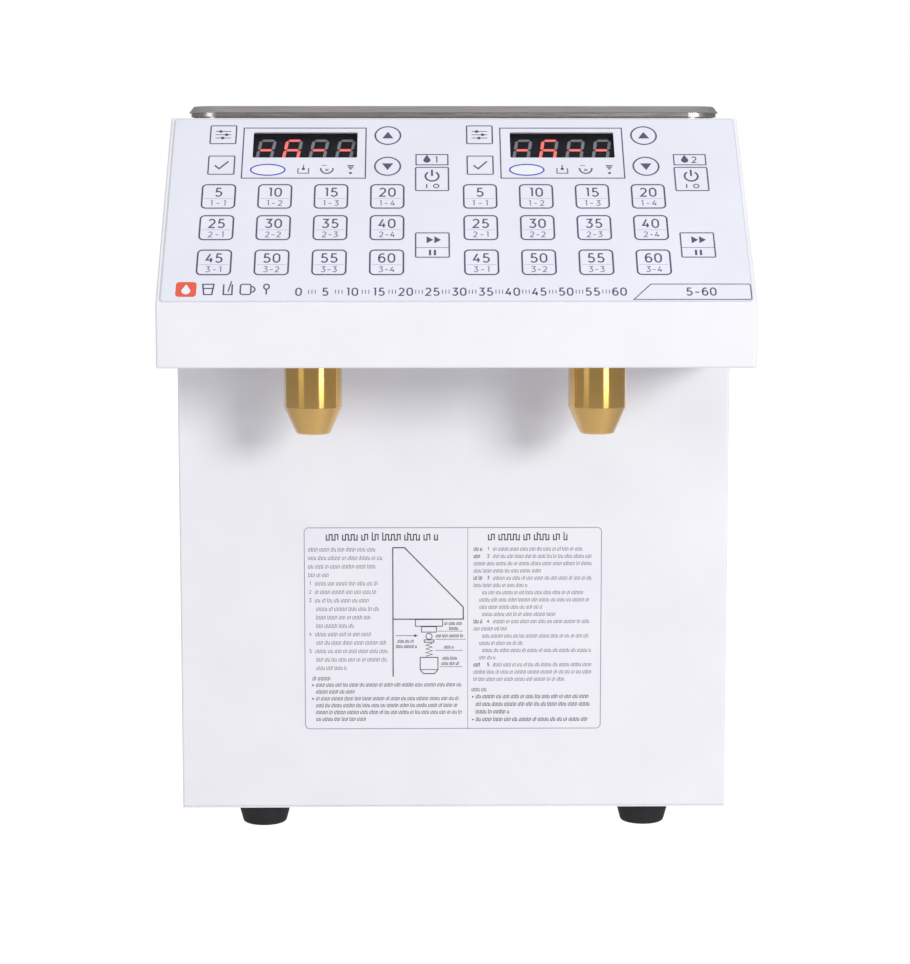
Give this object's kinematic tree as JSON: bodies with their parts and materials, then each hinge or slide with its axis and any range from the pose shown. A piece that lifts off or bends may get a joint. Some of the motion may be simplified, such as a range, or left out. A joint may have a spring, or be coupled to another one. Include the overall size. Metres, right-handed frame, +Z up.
{
  "type": "syrup dispenser",
  "caption": "Counter-top twin syrup dispenser: sheet-steel case, sloped membrane keypad with displays, lift-off tank lid and screw-on brass nozzles.",
  "frame": {"origin": "middle of the overall box in plan, on the plane of the feet", "axes": "+Z up, front faces -Y, +X to the right seen from the front"},
  "size_m": [0.3682, 0.384, 0.4827],
  "materials": {
    "white_paint": "fine textured white powder coat",
    "stainless": "pressed stainless, satin",
    "film": "matt printed polyester film",
    "key_film": "matt printed polyester film",
    "board": "solder-masked board",
    "nozzle_brass": "turned, polished brass",
    "gear_brass": "hobbed brass",
    "plug_steel": "turned stainless",
    "spring_steel": "drawn stainless wire",
    "pump_steel": "machined stainless and zinc plate",
    "hose_silicone": "translucent silicone",
    "black_plastic": "moulded black nylon",
    "black_rubber": "moulded black rubber",
    "screw_steel": "dark zinc-plated steel"
  },
  "bodies": {
    "dispenser": {"body_shell": "white_paint", "chassis": "white_paint", "head_cover": "white_paint", "head_underside": "white_paint", "tank": "stainless", "keypad_overlay": "film", "circuit_boards": "board", "nozzle_bodies": "nozzle_brass", "gear_pumps": "pump_steel", "syrup_hoses": "hose_silicone", "power_inlet": "black_plastic", "rubber_feet": "black_rubber", "casing_screws": "screw_steel"},
    "tank_lid": {"tank_lid": "stainless"},
    "nozzle_cap_left": {"nozzle_cap_left": "nozzle_brass", "valve_spring_left": "spring_steel"},
    "valve_plug_left": {"valve_plug_left": "plug_steel"},
    "nozzle_cap_right": {"nozzle_cap_right": "nozzle_brass", "valve_spring_right": "spring_steel"},
    "valve_plug_right": {"valve_plug_right": "plug_steel"},
    "drive_gear_left": {"drive_gear_left": "gear_brass"},
    "driven_gear_left": {"driven_gear_left": "gear_brass"},
    "drive_gear_right": {"drive_gear_right": "gear_brass"},
    "driven_gear_right": {"driven_gear_right": "gear_brass"},
    "key_left_dose_05": {"key_left_dose_05": "key_film"},
    "key_left_dose_10": {"key_left_dose_10": "key_film"},
    "key_left_dose_15": {"key_left_dose_15": "key_film"},
    "key_left_dose_20": {"key_left_dose_20": "key_film"},
    "key_left_dose_25": {"key_left_dose_25": "key_film"},
    "key_left_dose_30": {"key_left_dose_30": "key_film"},
    "key_left_dose_35": {"key_left_dose_35": "key_film"},
    "key_left_dose_40": {"key_left_dose_40": "key_film"},
    "key_left_dose_45": {"key_left_dose_45": "key_film"},
    "key_left_dose_50": {"key_left_dose_50": "key_film"},
    "key_left_dose_55": {"key_left_dose_55": "key_film"},
    "key_left_dose_60": {"key_left_dose_60": "key_film"},
    "key_left_set": {"key_left_set": "key_film"},
    "key_left_save": {"key_left_save": "key_film"},
    "key_left_up": {"key_left_up": "key_film"},
    "key_left_down": {"key_left_down": "key_film"},
    "key_left_power": {"key_left_power": "key_film"},
    "key_left_run": {"key_left_run": "key_film"},
    "key_right_dose_05": {"key_right_dose_05": "key_film"},
    "key_right_dose_10": {"key_right_dose_10": "key_film"},
    "key_right_dose_15": {"key_right_dose_15": "key_film"},
    "key_right_dose_20": {"key_right_dose_20": "key_film"},
    "key_right_dose_25": {"key_right_dose_25": "key_film"},
    "key_right_dose_30": {"key_right_dose_30": "key_film"},
    "key_right_dose_35": {"key_right_dose_35": "key_film"},
    "key_right_dose_40": {"key_right_dose_40": "key_film"},
    "key_right_dose_45": {"key_right_dose_45": "key_film"},
    "key_right_dose_50": {"key_right_dose_50": "key_film"},
    "key_right_dose_55": {"key_right_dose_55": "key_film"},
    "key_right_dose_60": {"key_right_dose_60": "key_film"},
    "key_right_set": {"key_right_set": "key_film"},
    "key_right_save": {"key_right_save": "key_film"},
    "key_right_up": {"key_right_up": "key_film"},
    "key_right_down": {"key_right_down": "key_film"},
    "key_right_power": {"key_right_power": "key_film"},
    "key_right_run": {"key_right_run": "key_film"}
  },
  "joints": [
    {"name": "lid_lift", "type": "slide", "parent": "dispenser", "child": "tank_lid", "axis": [0, 0, 1], "range_m": [0, 0.08]},
    {"name": "cap_left_release", "type": "slide", "parent": "dispenser", "child": "nozzle_cap_left", "axis": [0, 0, -1], "range_m": [0, 0.045]},
    {"name": "cap_right_release", "type": "slide", "parent": "dispenser", "child": "nozzle_cap_right", "axis": [0, 0, -1], "range_m": [0, 0.045]},
    {"name": "plug_left_open", "type": "slide", "parent": "nozzle_cap_left", "child": "valve_plug_left", "axis": [0, 0, -1], "range_m": [0, 0.003], "stiffness_N_per_m": 600, "springref_m": -0.003, "deforming": ["valve_spring_left"]},
    {"name": "plug_right_open", "type": "slide", "parent": "nozzle_cap_right", "child": "valve_plug_right", "axis": [0, 0, -1], "range_m": [0, 0.003], "stiffness_N_per_m": 600, "springref_m": -0.003, "deforming": ["valve_spring_right"]},
    {"name": "drive_left_spin", "type": "hinge", "parent": "dispenser", "child": "drive_gear_left", "pos_m": [-0.0801, 0.0082, 0.0998], "axis": [0, 0, 1], "continuous": true},
    {"name": "follower_left_spin", "type": "hinge", "parent": "dispenser", "child": "driven_gear_left", "pos_m": [-0.1001, 0.0082, 0.0998], "axis": [0, 0, 1], "continuous": true},
    {"name": "drive_right_spin", "type": "hinge", "parent": "dispenser", "child": "drive_gear_right", "pos_m": [0.0801, 0.0082, 0.0998], "axis": [0, 0, 1], "continuous": true},
    {"name": "follower_right_spin", "type": "hinge", "parent": "dispenser", "child": "driven_gear_right", "pos_m": [0.1001, 0.0082, 0.0998], "axis": [0, 0, 1], "continuous": true},
    {"name": "press_left_dose_05", "type": "slide", "parent": "dispenser", "child": "key_left_dose_05", "axis": [0, 0.7071, -0.7071], "range_m": [0, 0.0003], "stiffness_N_per_m": 900, "springref_m": -0.0005},
    {"name": "press_left_dose_10", "type": "slide", "parent": "dispenser", "child": "key_left_dose_10", "axis": [0, 0.7071, -0.7071], "range_m": [0, 0.0003], "stiffness_N_per_m": 900, "springref_m": -0.0005},
    {"name": "press_left_dose_15", "type": "slide", "parent": "dispenser", "child": "key_left_dose_15", "axis": [0, 0.7071, -0.7071], "range_m": [0, 0.0003], "stiffness_N_per_m": 900, "springref_m": -0.0005},
    {"name": "press_left_dose_20", "type": "slide", "parent": "dispenser", "child": "key_left_dose_20", "axis": [0, 0.7071, -0.7071], "range_m": [0, 0.0003], "stiffness_N_per_m": 900, "springref_m": -0.0005},
    {"name": "press_left_dose_25", "type": "slide", "parent": "dispenser", "child": "key_left_dose_25", "axis": [0, 0.7071, -0.7071], "range_m": [0, 0.0003], "stiffness_N_per_m": 900, "springref_m": -0.0005},
    {"name": "press_left_dose_30", "type": "slide", "parent": "dispenser", "child": "key_left_dose_30", "axis": [0, 0.7071, -0.7071], "range_m": [0, 0.0003], "stiffness_N_per_m": 900, "springref_m": -0.0005},
    {"name": "press_left_dose_35", "type": "slide", "parent": "dispenser", "child": "key_left_dose_35", "axis": [0, 0.7071, -0.7071], "range_m": [0, 0.0003], "stiffness_N_per_m": 900, "springref_m": -0.0005},
    {"name": "press_left_dose_40", "type": "slide", "parent": "dispenser", "child": "key_left_dose_40", "axis": [0, 0.7071, -0.7071], "range_m": [0, 0.0003], "stiffness_N_per_m": 900, "springref_m": -0.0005},
    {"name": "press_left_dose_45", "type": "slide", "parent": "dispenser", "child": "key_left_dose_45", "axis": [0, 0.7071, -0.7071], "range_m": [0, 0.0003], "stiffness_N_per_m": 900, "springref_m": -0.0005},
    {"name": "press_left_dose_50", "type": "slide", "parent": "dispenser", "child": "key_left_dose_50", "axis": [0, 0.7071, -0.7071], "range_m": [0, 0.0003], "stiffness_N_per_m": 900, "springref_m": -0.0005},
    {"name": "press_left_dose_55", "type": "slide", "parent": "dispenser", "child": "key_left_dose_55", "axis": [0, 0.7071, -0.7071], "range_m": [0, 0.0003], "stiffness_N_per_m": 900, "springref_m": -0.0005},
    {"name": "press_left_dose_60", "type": "slide", "parent": "dispenser", "child": "key_left_dose_60", "axis": [0, 0.7071, -0.7071], "range_m": [0, 0.0003], "stiffness_N_per_m": 900, "springref_m": -0.0005},
    {"name": "press_left_set", "type": "slide", "parent": "dispenser", "child": "key_left_set", "axis": [0, 0.7071, -0.7071], "range_m": [0, 0.0003], "stiffness_N_per_m": 900, "springref_m": -0.0005},
    {"name": "press_left_save", "type": "slide", "parent": "dispenser", "child": "key_left_save", "axis": [0, 0.7071, -0.7071], "range_m": [0, 0.0003], "stiffness_N_per_m": 900, "springref_m": -0.0005},
    {"name": "press_left_up", "type": "slide", "parent": "dispenser", "child": "key_left_up", "axis": [0, 0.7071, -0.7071], "range_m": [0, 0.0003], "stiffness_N_per_m": 900, "springref_m": -0.0005},
    {"name": "press_left_down", "type": "slide", "parent": "dispenser", "child": "key_left_down", "axis": [0, 0.7071, -0.7071], "range_m": [0, 0.0003], "stiffness_N_per_m": 900, "springref_m": -0.0005},
    {"name": "press_left_power", "type": "slide", "parent": "dispenser", "child": "key_left_power", "axis": [0, 0.7071, -0.7071], "range_m": [0, 0.0003], "stiffness_N_per_m": 900, "springref_m": -0.0005},
    {"name": "press_left_run", "type": "slide", "parent": "dispenser", "child": "key_left_run", "axis": [0, 0.7071, -0.7071], "range_m": [0, 0.0003], "stiffness_N_per_m": 900, "springref_m": -0.0005},
    {"name": "press_right_dose_05", "type": "slide", "parent": "dispenser", "child": "key_right_dose_05", "axis": [0, 0.7071, -0.7071], "range_m": [0, 0.0003], "stiffness_N_per_m": 900, "springref_m": -0.0005},
    {"name": "press_right_dose_10", "type": "slide", "parent": "dispenser", "child": "key_right_dose_10", "axis": [0, 0.7071, -0.7071], "range_m": [0, 0.0003], "stiffness_N_per_m": 900, "springref_m": -0.0005},
    {"name": "press_right_dose_15", "type": "slide", "parent": "dispenser", "child": "key_right_dose_15", "axis": [0, 0.7071, -0.7071], "range_m": [0, 0.0003], "stiffness_N_per_m": 900, "springref_m": -0.0005},
    {"name": "press_right_dose_20", "type": "slide", "parent": "dispenser", "child": "key_right_dose_20", "axis": [0, 0.7071, -0.7071], "range_m": [0, 0.0003], "stiffness_N_per_m": 900, "springref_m": -0.0005},
    {"name": "press_right_dose_25", "type": "slide", "parent": "dispenser", "child": "key_right_dose_25", "axis": [0, 0.7071, -0.7071], "range_m": [0, 0.0003], "stiffness_N_per_m": 900, "springref_m": -0.0005},
    {"name": "press_right_dose_30", "type": "slide", "parent": "dispenser", "child": "key_right_dose_30", "axis": [0, 0.7071, -0.7071], "range_m": [0, 0.0003], "stiffness_N_per_m": 900, "springref_m": -0.0005},
    {"name": "press_right_dose_35", "type": "slide", "parent": "dispenser", "child": "key_right_dose_35", "axis": [0, 0.7071, -0.7071], "range_m": [0, 0.0003], "stiffness_N_per_m": 900, "springref_m": -0.0005},
    {"name": "press_right_dose_40", "type": "slide", "parent": "dispenser", "child": "key_right_dose_40", "axis": [0, 0.7071, -0.7071], "range_m": [0, 0.0003], "stiffness_N_per_m": 900, "springref_m": -0.0005},
    {"name": "press_right_dose_45", "type": "slide", "parent": "dispenser", "child": "key_right_dose_45", "axis": [0, 0.7071, -0.7071], "range_m": [0, 0.0003], "stiffness_N_per_m": 900, "springref_m": -0.0005},
    {"name": "press_right_dose_50", "type": "slide", "parent": "dispenser", "child": "key_right_dose_50", "axis": [0, 0.7071, -0.7071], "range_m": [0, 0.0003], "stiffness_N_per_m": 900, "springref_m": -0.0005},
    {"name": "press_right_dose_55", "type": "slide", "parent": "dispenser", "child": "key_right_dose_55", "axis": [0, 0.7071, -0.7071], "range_m": [0, 0.0003], "stiffness_N_per_m": 900, "springref_m": -0.0005},
    {"name": "press_right_dose_60", "type": "slide", "parent": "dispenser", "child": "key_right_dose_60", "axis": [0, 0.7071, -0.7071], "range_m": [0, 0.0003], "stiffness_N_per_m": 900, "springref_m": -0.0005},
    {"name": "press_right_set", "type": "slide", "parent": "dispenser", "child": "key_right_set", "axis": [0, 0.7071, -0.7071], "range_m": [0, 0.0003], "stiffness_N_per_m": 900, "springref_m": -0.0005},
    {"name": "press_right_save", "type": "slide", "parent": "dispenser", "child": "key_right_save", "axis": [0, 0.7071, -0.7071], "range_m": [0, 0.0003], "stiffness_N_per_m": 900, "springref_m": -0.0005},
    {"name": "press_right_up", "type": "slide", "parent": "dispenser", "child": "key_right_up", "axis": [0, 0.7071, -0.7071], "range_m": [0, 0.0003], "stiffness_N_per_m": 900, "springref_m": -0.0005},
    {"name": "press_right_down", "type": "slide", "parent": "dispenser", "child": "key_right_down", "axis": [0, 0.7071, -0.7071], "range_m": [0, 0.0003], "stiffness_N_per_m": 900, "springref_m": -0.0005},
    {"name": "press_right_power", "type": "slide", "parent": "dispenser", "child": "key_right_power", "axis": [0, 0.7071, -0.7071], "range_m": [0, 0.0003], "stiffness_N_per_m": 900, "springref_m": -0.0005},
    {"name": "press_right_run", "type": "slide", "parent": "dispenser", "child": "key_right_run", "axis": [0, 0.7071, -0.7071], "range_m": [0, 0.0003], "stiffness_N_per_m": 900, "springref_m": -0.0005}
  ],
  "couplings": [
    {"joint": "follower_left_spin", "follows": "drive_left_spin", "ratio": -1},
    {"joint": "follower_right_spin", "follows": "drive_right_spin", "ratio": -1}
  ]
}
